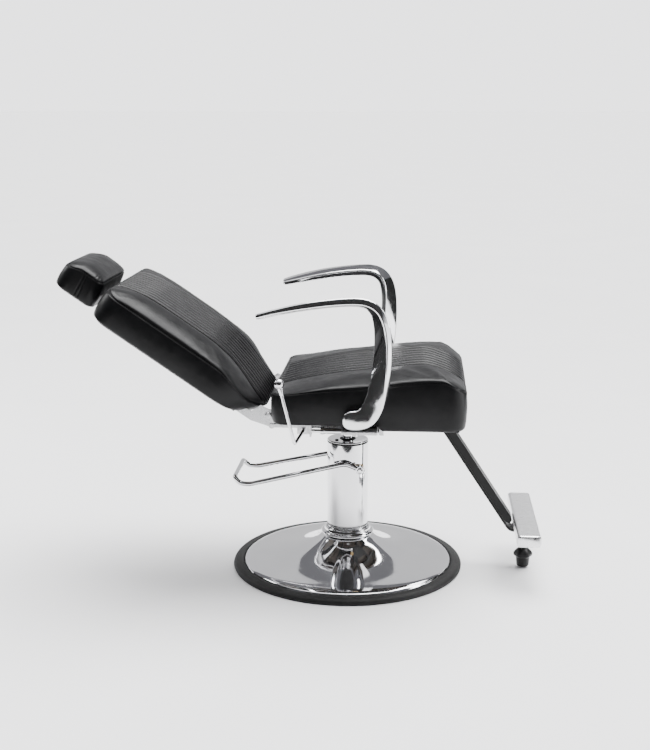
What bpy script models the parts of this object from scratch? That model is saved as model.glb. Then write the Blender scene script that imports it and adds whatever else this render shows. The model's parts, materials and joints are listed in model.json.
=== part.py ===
"""Hydraulic all-purpose barber chair, reclined, as an assembly of separate pieces.

Metres, +Z up. The origin is on the floor, on the swivel axis, and +X is the chair's front.
Every moving group hangs from an empty on its joint's axis. The backrest's pieces are modelled in
the frame of the recline axis: local -X runs up the back and local +Z faces the sitter.
"""

import math

import bmesh
import bpy
from mathutils import Matrix, Vector

GAP = 0.0003

# driving dimensions: base and column
BASE_RADIUS = 0.300
DOME_RADIUS = 0.2725
BALLAST_TOP = 0.022
COLUMN_RADIUS = 0.053
COLUMN_TOP = 0.3325
HEAD_TOP = 0.340
CYLINDER_RADIUS = 0.026
BORE_RADIUS = 0.020
ROD_RADIUS = 0.0145
ROD_BOTTOM, ROD_TOP = 0.030, 0.405

# pump lever
LEVER_X, LEVER_Z = 0.035, 0.274
SHAFT_RADIUS = 0.005
LEVER_ROD = 0.006
HUB_Y = 0.066
CRANK_REACH = 0.010

# seat
SEAT_REAR, SEAT_FRONT = -0.166, 0.296
SEAT_HALF_WIDTH = 0.250
SEAT_BOTTOM = 0.4225
NOTCH_FRONT = 0.090
NOTCH_TOP = 0.4335
SEAT_CROWN, SEAT_FULLNESS = 0.015, 6.0
RAIL_Y, RAIL_SIZE = 0.165, 0.020
RAIL_BOTTOM = 0.4329
PLATE_BOTTOM, PLATE_TOP = 0.4265, 0.4325

# recline axis and backrest, with u up the back and d towards the sitter
HINGE_X, HINGE_Z = -0.184, 0.444
RECLINE = math.radians(34.3)
BACK_LOW, BACK_HIGH = 0.014, 0.486
BACK_HALF_WIDTH = 0.235
BACK_REAR, BACK_SEAM, BACK_CROWN = -0.037, 0.037, 0.014
BACK_FULLNESS = 4.0
BOARD_REAR, BOARD_FRONT = -0.0265, -0.0115
ARM_INNER_Y, ARM_THICK = 0.1816, 0.005
EAR_INNER_Y, EAR_THICK = 0.1753, 0.006
PIN_RADIUS = 0.005

# headrest
HEAD_LOW, HEAD_HIGH = 0.506, 0.623
HEAD_HALF_WIDTH = 0.130
HEAD_REAR, HEAD_SEAM, HEAD_CROWN = -0.049, 0.022, 0.015
HEAD_FULLNESS = 3.4

# recline lock, on the near side
LOCK_RADIUS = 0.026
LOCK_SWING = math.radians(18)
LINK_Y, LINK_Z = -0.1893, 0.4193
TUBE_Y, TUBE_Z = -0.205, 0.4128

# release lever
RELEASE_X, RELEASE_Z = -0.095, 0.4185

# footrest
LEG_WIDTH = 0.050
LEG_THICK = 0.006
FOOT_X = (0.430, 0.490)
FOOT_Z = (0.117, 0.147)
FOOT_HALF = 0.178
STUD_X = 0.461

COLOURS = {
    "chrome": ((0.80, 0.80, 0.81), 0.08, 1.0),
    "polished": ((0.82, 0.82, 0.83), 0.12, 1.0),
    "steel": ((0.55, 0.55, 0.56), 0.35, 1.0),
    "bronze": ((0.55, 0.38, 0.18), 0.4, 1.0),
    "iron": ((0.05, 0.05, 0.05), 0.6, 0.4),
    "black_steel": ((0.02, 0.02, 0.02), 0.4, 0.2),
    "black_rubber": ((0.02, 0.02, 0.02), 0.8, 0.0),
    "black_plastic": ((0.02, 0.02, 0.02), 0.45, 0.0),
    "plywood": ((0.55, 0.40, 0.24), 0.7, 0.0),
    "black_leather": ((0.012, 0.012, 0.013), 0.4, 0.0),
}

ANCHORS = {}
SIDES = (("near", -1), ("far", 1))


# ---------------------------------------------------------------- helpers


def clear_scene():
    for thing in list(bpy.data.objects):
        bpy.data.objects.remove(thing, do_unlink=True)


def collection(name):
    made = bpy.data.collections.new(name)
    bpy.context.scene.collection.children.link(made)
    return made


def material(piece, kind):
    colour, rough, metal = COLOURS[kind]
    made = bpy.data.materials.new(piece)
    made.use_nodes = True
    shader = made.node_tree.nodes["Principled BSDF"]
    shader.inputs["Base Color"].default_value = (*colour, 1.0)
    shader.inputs["Roughness"].default_value = rough
    shader.inputs["Metallic"].default_value = metal
    return made


def anchor(name, point=(0, 0, 0), parent=None, turn=0.0):
    """An empty on a joint's axis; its point is in world coordinates unless its parent is turned."""
    empty = bpy.data.objects.new(name, None)
    parts.objects.link(empty)
    empty.empty_display_size = 0.05
    base = Vector()
    if parent:
        empty.parent = ANCHORS[parent][0]
        base = ANCHORS[parent][1]
    empty.location = Vector(point) - base
    empty.rotation_euler = (0, turn, 0)
    ANCHORS[name] = (empty, Vector() if turn or (parent and parent == "recline") else Vector(point))


def place(thing, kind, body, point=(0, 0, 0), turn=(0, 0, 0), smooth=True):
    parts.objects.link(thing)
    thing.data.materials.append(material(thing.name, kind))
    empty, base = ANCHORS[body]
    thing.parent = empty
    thing.location = Vector(point) - base
    thing.rotation_euler = turn
    if smooth and thing.type == "MESH":
        thing.data.shade_smooth()
        thing.data.set_sharp_from_angle(angle=math.radians(35))
    return thing


def mesh_object(name, shape):
    mesh = bpy.data.meshes.new(name)
    bmesh.ops.recalc_face_normals(shape, faces=shape.faces)
    shape.to_mesh(mesh)
    shape.free()
    return bpy.data.objects.new(name, mesh)


def box_mesh(low, high):
    """A box centred on its own origin, and where its centre goes."""
    low, high = Vector(low), Vector(high)
    shape = bmesh.new()
    bmesh.ops.create_cube(shape, size=1.0)
    bmesh.ops.scale(shape, vec=high - low, verts=shape.verts)
    return shape, (low + high) / 2


def box(name, low, high, kind, body, bevel=0.0):
    shape, centre = box_mesh(low, high)
    thing = place(mesh_object(name, shape), kind, body, centre, smooth=False)
    if bevel:
        rounding = thing.modifiers.new("Rounded", "BEVEL")
        rounding.width = bevel
        rounding.segments = 2
    return thing


def box_cutter(name, low, high, body="chair"):
    shape, centre = box_mesh(low, high)
    return as_cutter(mesh_object(name, shape), body, centre)


def round_cutter(name, radius, start, end, body="chair", sides=24):
    start, end = Vector(start), Vector(end)
    shape = bmesh.new()
    length = (end - start).length
    bmesh.ops.create_cone(
        shape, cap_ends=True, segments=sides, radius1=radius, radius2=radius, depth=length
    )
    turn = Vector((0, 0, 1)).rotation_difference(end - start).to_euler()
    return as_cutter(mesh_object(name, shape), body, (start + end) / 2, turn)


def as_cutter(thing, body, point, turn=(0, 0, 0)):
    cutters.objects.link(thing)
    empty, base = ANCHORS[body]
    thing.parent = empty
    thing.location = Vector(point) - base
    thing.rotation_euler = turn
    thing.hide_render = True
    thing.display_type = "WIRE"
    return thing


def boolean(thing, tool, operation="DIFFERENCE"):
    step = thing.modifiers.new(tool.name, "BOOLEAN")
    step.operation = operation
    step.solver = "EXACT"
    step.object = tool
    return thing


def turned(name, profile, kind, body, point=(0, 0, 0), turn=(0, 0, 0), steps=32, closed=False):
    """A turned piece from a (radius, height) profile, which runs down the outer side."""
    mesh = bpy.data.meshes.new(name)
    count = len(profile)
    edges = [(i, i + 1) for i in range(count - 1)]
    if closed:
        edges.append((count - 1, 0))
    mesh.from_pydata([(radius, 0.0, height) for radius, height in profile], edges, [])
    thing = bpy.data.objects.new(name, mesh)
    screw = thing.modifiers.new("Turned", "SCREW")
    screw.steps = steps
    screw.render_steps = steps
    screw.use_merge_vertices = True
    screw.merge_threshold = 0.00001
    screw.use_smooth_shade = False
    return place(thing, kind, body, point, turn, smooth=False)


def ring(name, inner, outer, low, high, kind, body, point=(0, 0, 0), turn=(0, 0, 0), steps=32):
    profile = [(outer, high), (outer, low), (inner, low), (inner, high)]
    return turned(name, profile, kind, body, point, turn, steps, closed=True)


def arc(centre, radius, start, end, steps):
    """Points on an arc, in degrees."""
    points = []
    for i in range(steps + 1):
        angle = math.radians(start + (end - start) * i / steps)
        points.append((centre[0] + radius * math.cos(angle), centre[1] + radius * math.sin(angle)))
    return points


def plate(name, outline, holes, low, high, kind, body, point=(0, 0, 0), turn=(0, 0, 0)):
    """A flat outline with round holes, extruded from low to high along its own Z."""
    curve = bpy.data.curves.new(name, "CURVE")
    curve.dimensions = "2D"
    curve.fill_mode = "BOTH"
    curve.extrude = (high - low) / 2
    curve.resolution_u = 1
    loops = [outline] + [arc(centre, radius, 0, 345, 23) for centre, radius in holes]
    for loop in loops:
        spline = curve.splines.new("POLY")
        spline.points.add(len(loop) - 1)
        spline.use_cyclic_u = True
        for spot, (x, y) in zip(spline.points, loop):
            spot.co = (x, y, 0, 1)
    thing = bpy.data.objects.new(name, curve)
    place(thing, kind, body, point, turn)
    middle = Vector((0, 0, (low + high) / 2))
    middle.rotate(thing.rotation_euler)
    thing.location = thing.location + middle
    return thing


UPRIGHT = (math.pi / 2, 0, 0)  # local X, Y, Z become world X, Z, -Y


def side_plate(name, outline, holes, inner_y, thick, side, kind, body, point=(0, 0, 0)):
    """A plate in the chair's XZ plane, from inner_y outwards on the given side."""
    if side < 0:
        low, high = inner_y, inner_y + thick
    else:
        low, high = -inner_y - thick, -inner_y
    return plate(name, outline, holes, low, high, kind, body, point, UPRIGHT)


def rounded_path(points, radius, steps=5):
    """The path with each inner corner replaced by a smooth bend."""
    points = [Vector(point) for point in points]
    path = [points[0]]
    for before, corner, after in zip(points, points[1:], points[2:]):
        reach = min(radius, (before - corner).length * 0.45, (after - corner).length * 0.45)
        start = corner + (before - corner).normalized() * reach
        end = corner + (after - corner).normalized() * reach
        for i in range(steps + 1):
            t = i / steps
            path.append(start * (1 - t) ** 2 + corner * 2 * t * (1 - t) + end * t * t)
    path.append(points[-1])
    return path


def rod(name, path, radius, kind, body, point=(0, 0, 0), fine=2):
    curve = bpy.data.curves.new(name, "CURVE")
    curve.dimensions = "3D"
    curve.bevel_depth = radius
    curve.bevel_resolution = fine
    curve.use_fill_caps = True
    curve.resolution_u = 1
    spline = curve.splines.new("POLY")
    spline.points.add(len(path) - 1)
    for spot, place_at in zip(spline.points, path):
        spot.co = (*(Vector(place_at) - Vector(point)), 1)
    thing = bpy.data.objects.new(name, curve)
    return place(thing, kind, body, point)


def ribbon(name, path, width, thick, kind, body):
    """A flat bar bent along a path in the chair's XZ plane."""
    curve = bpy.data.curves.new(name, "CURVE")
    curve.dimensions = "2D"
    curve.extrude = width / 2
    curve.resolution_u = 1
    spline = curve.splines.new("POLY")
    spline.points.add(len(path) - 1)
    for spot, corner in zip(spline.points, path):
        spot.co = (corner.x, corner.y, 0, 1)
    strip = place(bpy.data.objects.new(name, curve), kind, body, (0, 0, 0), UPRIGHT)
    solid = meshed(strip)
    thickness = solid.modifiers.new("Thickness", "SOLIDIFY")
    thickness.thickness = thick
    thickness.offset = 0.0
    thickness.use_even_offset = True
    return solid


def meshed(thing):
    """The curve object as a mesh object with its caps welded, in the same place."""
    bpy.context.view_layer.update()
    graph = bpy.context.evaluated_depsgraph_get()
    mesh = bpy.data.meshes.new_from_object(thing.evaluated_get(graph))
    shape = bmesh.new()
    shape.from_mesh(mesh)
    bmesh.ops.remove_doubles(shape, verts=shape.verts, dist=0.00001)
    shape.to_mesh(mesh)
    shape.free()
    name, parent, location = thing.name, thing.parent, thing.location.copy()
    turn = thing.rotation_euler.copy()
    bpy.data.objects.remove(thing, do_unlink=True)
    mesh.name = name
    solid = bpy.data.objects.new(name, mesh)
    parts.objects.link(solid)
    solid.parent = parent
    solid.location = location
    solid.rotation_euler = turn
    return solid


def loft(name, rings):
    """A closed form through rings of equal count, capped at both ends."""
    shape = bmesh.new()
    rows = [[shape.verts.new(point) for point in row] for row in rings]
    count = len(rows[0])
    for low, high in zip(rows, rows[1:]):
        for i in range(count):
            j = (i + 1) % count
            shape.faces.new((low[i], low[j], high[j], high[i]))
    shape.faces.new(list(reversed(rows[0])))
    shape.faces.new(rows[-1])
    bmesh.ops.triangulate(shape, faces=[face for face in shape.faces if len(face.verts) > 4])
    return mesh_object(name, shape)


def smooth_step(value):
    value = min(max(value, 0.0), 1.0)
    return value * value * (3 - 2 * value)


# ---------------------------------------------------------------- cushions


def rounded_rectangle(low, high, half_width, start_radius, end_radius, per_corner=4, along=2):
    """Points around a plan outline from low to high in X, with its two ends' corner radii."""
    points = []
    corners = (
        (high - end_radius, half_width - end_radius, end_radius, 0),
        (low + start_radius, half_width - start_radius, start_radius, 90),
        (low + start_radius, -half_width + start_radius, start_radius, 180),
        (high - end_radius, -half_width + end_radius, end_radius, 270),
    )
    for index, (x, y, radius, start) in enumerate(corners):
        points += arc((x, y), radius, start, start + 90, per_corner)
        following = corners[(index + 1) % 4]
        first = arc(following[:2], following[2], following[3], following[3] + 90, 1)[0]
        last = points[-1]
        for i in range(1, along + 1):
            t = i / (along + 1)
            points.append((last[0] + (first[0] - last[0]) * t, last[1] + (first[1] - last[1]) * t))
    return points


def cushion(name, outline, bottom, seam, crown, fullness, body, side_steps=2):
    """A pad: straight sides up to the seam, then a crowned top, flatter for a higher fullness."""
    xs = [x for x, _ in outline]
    middle = (min(xs) + max(xs)) / 2
    rings = []
    for i in range(side_steps + 1):
        t = i / side_steps
        inset = 1.0 - 0.012 * (1 - t) ** 2
        row = []
        for x, y in outline:
            x_in, y_in = middle + (x - middle) * inset, y * inset
            row.append((x_in, y_in, bottom + (seam(x_in) - bottom) * t))
        rings.append(row)
    for size in (0.965, 0.90, 0.78, 0.58, 0.30, 0.08):
        rise = crown * (1 - size**fullness) ** 0.8
        row = []
        for x, y in outline:
            x_in, y_in = middle + (x - middle) * size, y * size
            row.append((x_in, y_in, seam(x_in) + rise))
        rings.append(row)
    return place(loft(name, rings), "black_leather", body)


def seat_seam(x):
    rise = 0.5104 + 0.0131 * smooth_step((x - SEAT_REAR) / 0.06) + 0.0228 * smooth_step((x + 0.02) / 0.26)
    return rise - 0.030 * smooth_step((x - 0.235) / 0.075)


def back_seam(x):
    up = -x
    return BACK_SEAM - 0.037 * smooth_step((0.1685 - up) / 0.13)


def head_seam(x):
    return HEAD_SEAM - 0.012 * smooth_step((-x - 0.575) / 0.05)


# ---------------------------------------------------------------- base and column


def build_base():
    turned(
        "ballast_plate",
        [(0, 0.022), (0.056, 0.022), (0.061, 0.012), (0.252, 0.010), (0.256, 0.007), (0.256, 0), (0, 0)],
        "iron", "base", steps=32,
    )
    turned(
        "base_trim_ring",
        [(0.277, 0.0165), (0.291, 0.0155), (0.2975, 0.0115), (BASE_RADIUS, 0.006), (0.299, 0.0)]
        + [(DOME_RADIUS + 0.0005, 0.0), (DOME_RADIUS + 0.0005, 0.0145)],
        "black_rubber", "base", steps=40, closed=True,
    )
    outer = [(0.058, 0.0860), (0.067, 0.0812), (0.084, 0.0675), (0.110, 0.0535), (0.150, 0.0400)]
    outer += [(0.200, 0.0300), (0.250, 0.0235), (0.2665, 0.0195), (DOME_RADIUS, 0.0130)]
    outer += [(DOME_RADIUS, 0.003)]
    inner = [(max(radius - 0.0018, 0.0562), height - 0.0022) for radius, height in outer[:-1]]
    inner.append((DOME_RADIUS - 0.0020, 0.003))
    turned("base_dome", outer + inner[::-1], "chrome", "base", steps=40, closed=True)
    turned(
        "base_collar",
        [(0.0565, 0.1045), (0.0590, 0.1025), (0.0602, 0.0965), (0.0662, 0.0945), (0.0690, 0.0905)]
        + [(0.0670, 0.0870), (0.0534, 0.0870), (0.0534, 0.1045)],
        "chrome", "base", steps=32, closed=True,
    )


def build_column():
    sleeve = ring(
        "column_sleeve", COLUMN_RADIUS - 0.0022, COLUMN_RADIUS, BALLAST_TOP + GAP, COLUMN_TOP,
        "chrome", "base", steps=32,
    )
    bush_hole = round_cutter(
        "bush_hole", 0.0085, (LEVER_X, -0.08, LEVER_Z), (LEVER_X, 0.08, LEVER_Z)
    )
    boolean(sleeve, bush_hole)
    ring(
        "hydraulic_cylinder", BORE_RADIUS, CYLINDER_RADIUS, BALLAST_TOP + GAP, 0.3160,
        "steel", "base", steps=24,
    )
    head = turned(
        "cylinder_head",
        [(0.0206, HEAD_TOP), (0.0515, HEAD_TOP), (COLUMN_RADIUS, HEAD_TOP - 0.0015)]
        + [(COLUMN_RADIUS, 0.3368), (0.0502, 0.3368), (0.0502, 0.3163), (ROD_RADIUS + GAP, 0.3163)]
        + [(ROD_RADIUS + GAP, 0.3350), (0.0206, 0.3350)],
        "polished", "base", steps=32, closed=True,
    )
    plug_x, plug_y = -0.027, -0.022
    plug_hole = round_cutter("plug_hole", 0.0034, (plug_x, plug_y, 0.328), (plug_x, plug_y, 0.35))
    boolean(head, plug_hole)
    ring("head_gasket", 0.0505, COLUMN_RADIUS, 0.3328, 0.3365, "black_rubber", "base", steps=32)
    ring(
        "rod_wiper_seal", ROD_RADIUS + GAP, 0.0203, 0.3353, HEAD_TOP + 0.0012,
        "black_rubber", "base", steps=32,
    )
    turned(
        "filler_plug",
        [(0, 0.3425), (0.0042, 0.3425), (0.0048, 0.3415), (0.0048, 0.3403), (0.0030, 0.3403)]
        + [(0.0030, 0.3290), (0, 0.3290)],
        "black_steel", "base", (plug_x, plug_y, 0), steps=16,
    )
    for side, sign in SIDES:
        ring(
            f"shaft_bush_{side}", SHAFT_RADIUS + GAP, 0.0082, 0.034, 0.054, "bronze", "base",
            (LEVER_X, 0, LEVER_Z), (math.pi / 2 * -sign, 0, 0), steps=24,
        )
    ring(
        "pump_barrel", 0.0028, 0.0050, 0.289, 0.3155, "steel", "base",
        (LEVER_X + CRANK_REACH, 0, 0), steps=16,
    )


def build_ram():
    turned(
        "piston_rod",
        [(0, ROD_TOP), (ROD_RADIUS - 0.001, ROD_TOP), (ROD_RADIUS, ROD_TOP - 0.001)]
        + [(ROD_RADIUS, ROD_BOTTOM), (0, ROD_BOTTOM)],
        "chrome", "lift", steps=32,
    )
    ring("piston", ROD_RADIUS + GAP, 0.0196, 0.031, 0.052, "steel", "lift", steps=32)


def build_pump():
    middle = (LEVER_X, 0, LEVER_Z)
    turned(
        "lever_shaft",
        [(0, 0.072), (SHAFT_RADIUS, 0.072), (SHAFT_RADIUS, -0.072), (0, -0.072)],
        "steel", "pump_lever", middle, UPRIGHT, steps=20,
    )
    crank = arc((0, 0), 0.0075, 20, 340, 14) + arc((CRANK_REACH, 0), 0.003, -70, 70, 6)
    plate(
        "lever_crank", crank, [((0, 0), SHAFT_RADIUS + GAP)], -0.004, 0.004, "steel",
        "pump_lever", middle, UPRIGHT,
    )
    near_leg = [
        (LEVER_X - 0.006, -HUB_Y, LEVER_Z + 0.003),
        (-0.002, -0.067, 0.2900),
        (-0.248, -0.083, 0.2350),
        (-0.272, -0.083, 0.2370),
        (-0.286, -0.080, 0.2520),
    ]
    far_leg = [(x, -y, z) for x, y, z in reversed(near_leg)]
    path = rounded_path(near_leg + far_leg, 0.014, steps=4)
    loop = meshed(rod("lever_loop", path, LEVER_ROD, "chrome", "pump_lever", middle))
    for side, sign in SIDES:
        start = (LEVER_X, sign * (HUB_Y - 0.006), LEVER_Z)
        end = (LEVER_X, sign * (HUB_Y + 0.0058), LEVER_Z)
        boolean(loop, round_cutter(f"hub_{side}", 0.0105, start, end), "UNION")
    for side, sign in SIDES:
        start = (LEVER_X, sign * (HUB_Y - 0.012), LEVER_Z)
        end = (LEVER_X, sign * (HUB_Y + 0.012), LEVER_Z)
        boolean(loop, round_cutter(f"hub_hole_{side}", SHAFT_RADIUS + GAP, start, end))
        turned(
            f"lever_nut_{side}",
            [(0, 0.0775), (0.0045, 0.0775), (0.0072, 0.0765), (0.0072, 0.0724), (0, 0.0724)],
            "chrome", "pump_lever", middle, (math.pi / 2 * -sign, 0, 0), steps=6,
        )
    turned(
        "pump_plunger",
        [(0, 0.308), (0.0025, 0.308), (0.0025, 0.2776), (0, 0.2776)],
        "steel", "plunger", (LEVER_X + CRANK_REACH, 0, 0), steps=16,
    )


# ---------------------------------------------------------------- seat


def rail(name, start, end, along_x):
    """A square tube, from its open end face at start to the one at end."""
    half, wall = RAIL_SIZE / 2, 0.002
    outer = [(-half, -half), (half, -half), (half, half), (-half, half)]
    inner = [(x * (1 - wall / half), y * (1 - wall / half)) for x, y in outer]
    curve = bpy.data.curves.new(name, "CURVE")
    curve.dimensions = "2D"
    curve.fill_mode = "BOTH"
    length = (Vector(end) - Vector(start)).length
    curve.extrude = length / 2
    for loop in (outer, inner):
        spline = curve.splines.new("POLY")
        spline.points.add(3)
        spline.use_cyclic_u = True
        for spot, (x, y) in zip(spline.points, loop):
            spot.co = (x, y, 0, 1)
    turn = (0, math.pi / 2, 0) if along_x else UPRIGHT
    centre = (Vector(start) + Vector(end)) / 2
    return place(bpy.data.objects.new(name, curve), "black_steel", "swivel", centre, turn)


def build_seat_frame():
    turned(
        "swivel_hub",
        [(0, 0.4262), (0.045, 0.4262), (0.045, 0.4202), (0.030, 0.4182), (0.028, 0.4160)]
        + [(0.028, 0.3640), (0.026, 0.3620), (ROD_RADIUS + 0.0004, 0.3620)]
        + [(ROD_RADIUS + 0.0004, 0.4080), (0, 0.4080)],
        "black_steel", "swivel", steps=24,
    )
    turned(
        "thrust_bearing",
        [(0, 0.4077), (0.0140, 0.4077), (0.0140, 0.4053), (0, 0.4053)],
        "bronze", "swivel", steps=24,
    )
    box(
        "seat_mount_plate", (-0.090, -0.090, PLATE_BOTTOM), (0.185, 0.090, PLATE_TOP),
        "black_steel", "swivel", 0.002,
    )
    rail_z = RAIL_BOTTOM + RAIL_SIZE / 2
    reach = RAIL_Y - RAIL_SIZE / 2 - GAP
    for side, sign in SIDES:
        y = sign * RAIL_Y
        rail(f"side_rail_{side}", (-0.133, y, rail_z), (0.235, y, rail_z), True)
    for name, x in (("rear", -0.075), ("front", 0.165)):
        rail(f"cross_rail_{name}", (x, -reach, rail_z), (x, reach, rail_z), False)
    for side, sign in SIDES:
        ys = sorted((sign * 0.145, sign * 0.284))
        bracket = box(
            f"arm_bracket_{side}", (0.0, ys[0], 0.4245), (0.085, ys[1], 0.4325), "steel", "swivel", 0.0015
        )
        hole = round_cutter(
            f"bracket_hole_{side}", 0.0043, (0.032, sign * 0.272, 0.41), (0.032, sign * 0.272, 0.447)
        )
        boolean(bracket, hole)
        turned(
            f"arm_bolt_{side}",
            [(0, 0.4450), (0.0040, 0.4450), (0.0040, 0.4242), (0.0075, 0.4242), (0.0075, 0.4200)]
            + [(0, 0.4200)],
            "steel", "swivel", (0.032, sign * 0.272, 0), steps=12,
        )
    tray = box("seat_tray", (-0.150, -0.236, 0.4255), (0.280, 0.236, 0.4652), "plywood", "swivel")
    boolean(tray, box_cutter("tray_recess", (-0.135, -0.221, 0.40), (0.262, 0.221, 0.4532)))
    boolean(tray, box_cutter("tray_step", (-0.20, -0.30, 0.40), (NOTCH_FRONT, 0.30, NOTCH_TOP + 0.003)))


def build_seat_cushion():
    outline = rounded_rectangle(SEAT_REAR, SEAT_FRONT, SEAT_HALF_WIDTH, 0.035, 0.040)
    pad = cushion("seat_cushion", outline, SEAT_BOTTOM, seat_seam, SEAT_CROWN, SEAT_FULLNESS, "swivel")
    boolean(pad, box_cutter("seat_recess", (-0.1505, -0.2365, 0.40), (0.2805, 0.2365, 0.4656)))
    boolean(pad, box_cutter("seat_step", (-0.25, -0.30, 0.40), (NOTCH_FRONT, 0.30, NOTCH_TOP)))


def arm_stations(sign):
    """Centre, width, thickness and twist in degrees along an armrest, from its tip to its foot."""
    rows = [
        (-0.1965, 0.292, 0.7055, 0.028, 0.0105, 12),
        (-0.1880, 0.292, 0.7075, 0.036, 0.012, 12),
        (-0.1550, 0.291, 0.7160, 0.045, 0.013, 12),
        (-0.0950, 0.290, 0.7285, 0.048, 0.016, 12),
        (-0.0300, 0.289, 0.7380, 0.048, 0.017, 12),
        (0.0280, 0.288, 0.7420, 0.048, 0.018, 13),
        (0.0600, 0.287, 0.7370, 0.048, 0.018, 17),
        (0.0810, 0.286, 0.7210, 0.048, 0.018, 24),
        (0.0920, 0.285, 0.6950, 0.048, 0.018, 33),
        (0.0965, 0.284, 0.6600, 0.048, 0.017, 40),
        (0.0965, 0.283, 0.6150, 0.048, 0.017, 46),
        (0.0925, 0.282, 0.5680, 0.049, 0.017, 52),
        (0.0860, 0.280, 0.5270, 0.050, 0.017, 60),
        (0.0760, 0.277, 0.4930, 0.050, 0.017, 70),
        (0.0610, 0.274, 0.4690, 0.049, 0.017, 80),
        (0.0420, 0.272, 0.4585, 0.048, 0.017, 88),
        (0.0220, 0.272, 0.4572, 0.046, 0.017, 90),
        (0.0100, 0.272, 0.4572, 0.036, 0.016, 90),
        (0.0040, 0.272, 0.4572, 0.020, 0.013, 90),
    ]
    return [(Vector((x, sign * y, z)), w, t, sign * twist) for x, y, z, w, t, twist in rows]


def band_rings(stations, points=12):
    """Rounded sections along the stations; the width starts along Y and twists about the path."""
    rings = []
    for i, (centre, width, thick, twist) in enumerate(stations):
        before = stations[max(i - 1, 0)][0]
        after = stations[min(i + 1, len(stations) - 1)][0]
        tangent = (after - before).normalized()
        across = Vector((0, 1, 0))
        across = (across - tangent * across.dot(tangent)).normalized()
        across.rotate(Matrix.Rotation(math.radians(twist), 3, tangent))
        normal = tangent.cross(across)
        row = []
        for k in range(points):
            angle = 2 * math.pi * (k + 0.5) / points
            c, s = math.cos(angle), math.sin(angle)
            wide = math.copysign(abs(c) ** 0.75, c) * width / 2
            deep = math.copysign(abs(s) ** 0.75, s) * thick / 2
            row.append(centre + across * wide + normal * deep)
        rings.append(row)
    return rings


def build_armrests():
    for side, sign in SIDES:
        arm = place(loft(f"armrest_{side}", band_rings(arm_stations(sign))), "polished", "swivel")
        hole = round_cutter(
            f"arm_hole_{side}", 0.0043, (0.032, sign * 0.272, 0.41), (0.032, sign * 0.272, 0.447)
        )
        boolean(arm, hole)


# ---------------------------------------------------------------- footrest


def build_footrest():
    half = LEG_THICK / 2
    top_z = PLATE_BOTTOM - GAP - half
    low_z = 0.107
    bend_top, bend_low = 0.2130, 0.4225
    centre = [(0.100, top_z), (bend_top, top_z), (bend_low, low_z), (0.4820, low_z)]
    path = rounded_path([(x, z, 0) for x, z in centre], 0.012, steps=4)
    leg = ribbon("footrest_leg", path, LEG_WIDTH, LEG_THICK, "black_steel", "swivel")
    slope = (Vector((bend_low, 0, low_z)) - Vector((bend_top, 0, top_z))).normalized()
    front = Vector((-slope.z, 0, slope.x))
    length = (Vector((bend_low, 0, low_z)) - Vector((bend_top, 0, top_z))).length

    def on_leg(down, out):
        return Vector((bend_top, 0, top_z)) + slope * down + front * out

    boolean(leg, round_cutter("stud_hole", 0.0053, (STUD_X, 0, 0.08), (STUD_X, 0, 0.13)))
    through = (on_leg(length * 0.5, -0.02), on_leg(length * 0.5, 0.018))
    boolean(leg, round_cutter("screw_hole", 0.0028, *through))

    pad_low, pad_high = length - 0.030, 0.030
    thick = 0.0195
    inner = half + GAP
    pad = [on_leg(pad_high, inner)]
    for out, down in arc((inner + thick / 2, 0), thick / 2, 180, 360, 8):
        pad.append(on_leg(pad_low - down * 1.3, out))
    pad.append(on_leg(pad_high, inner + thick))
    pad_shape = [(spot.x, spot.z) for spot in pad]
    strip = meshed(plate(
        "leg_pad", pad_shape, [], -LEG_WIDTH / 2 + 0.001, LEG_WIDTH / 2 - 0.001, "black_plastic",
        "swivel", (0, 0, 0), UPRIGHT,
    ))
    boolean(strip, round_cutter("pad_hole", 0.0028, *through))
    turned(
        "leg_screw",
        [(0, 0.0205), (0.0024, 0.0205), (0.0024, 0.0003), (0.0048, 0.0003), (0.0048, -0.0015)]
        + [(0.0030, -0.0032), (0, -0.0032)],
        "steel", "swivel", on_leg(length * 0.5, -half - 2 * GAP),
        Vector((0, 0, 1)).rotation_difference(front).to_euler(), steps=12,
    )
    mount = box(
        "footrest_mount_plate", (0.4345, -0.062, 0.1103), (0.4850, 0.062, FOOT_Z[0] - GAP),
        "black_steel", "swivel", 0.0012,
    )
    boolean(mount, round_cutter("mount_hole", 0.0053, (STUD_X, 0, 0.10), (STUD_X, 0, 0.125)))
    bar = box(
        "foot_bar", (FOOT_X[0], -FOOT_HALF, FOOT_Z[0]), (FOOT_X[1], FOOT_HALF, FOOT_Z[1]),
        "polished", "swivel", 0.005,
    )
    boolean(bar, round_cutter("bar_hole", 0.0053, (STUD_X, 0, 0.10), (STUD_X, 0, 0.132)))
    turned(
        "foot_stud",
        [(0, 0.1300), (0.0050, 0.1300), (0.0050, 0.1037), (0.0085, 0.1037), (0.0085, 0.0975)]
        + [(0.0050, 0.0975), (0.0050, 0.0600), (0, 0.0600)],
        "chrome", "swivel", (STUD_X, 0, 0), steps=16,
    )
    turned(
        "foot_knob",
        [(0, 0.0460), (0.0053, 0.0460), (0.0053, 0.0660), (0.0105, 0.0660), (0.0115, 0.0600)]
        + [(0.0125, 0.0520), (0.0200, 0.0460), (0.0245, 0.0400), (0.0245, 0.0340)]
        + [(0.0180, 0.0280), (0.0165, 0.0100), (0.0150, 0.0040), (0, 0.0040)],
        "black_plastic", "leveller", (STUD_X, 0, 0), steps=16,
    )


# ---------------------------------------------------------------- hinge, lock and release


def lock_offset():
    """The lock lug's place relative to the recline axis, in world X and Z."""
    return LOCK_RADIUS * math.sin(LOCK_SWING), -LOCK_RADIUS * math.cos(LOCK_SWING)


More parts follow.
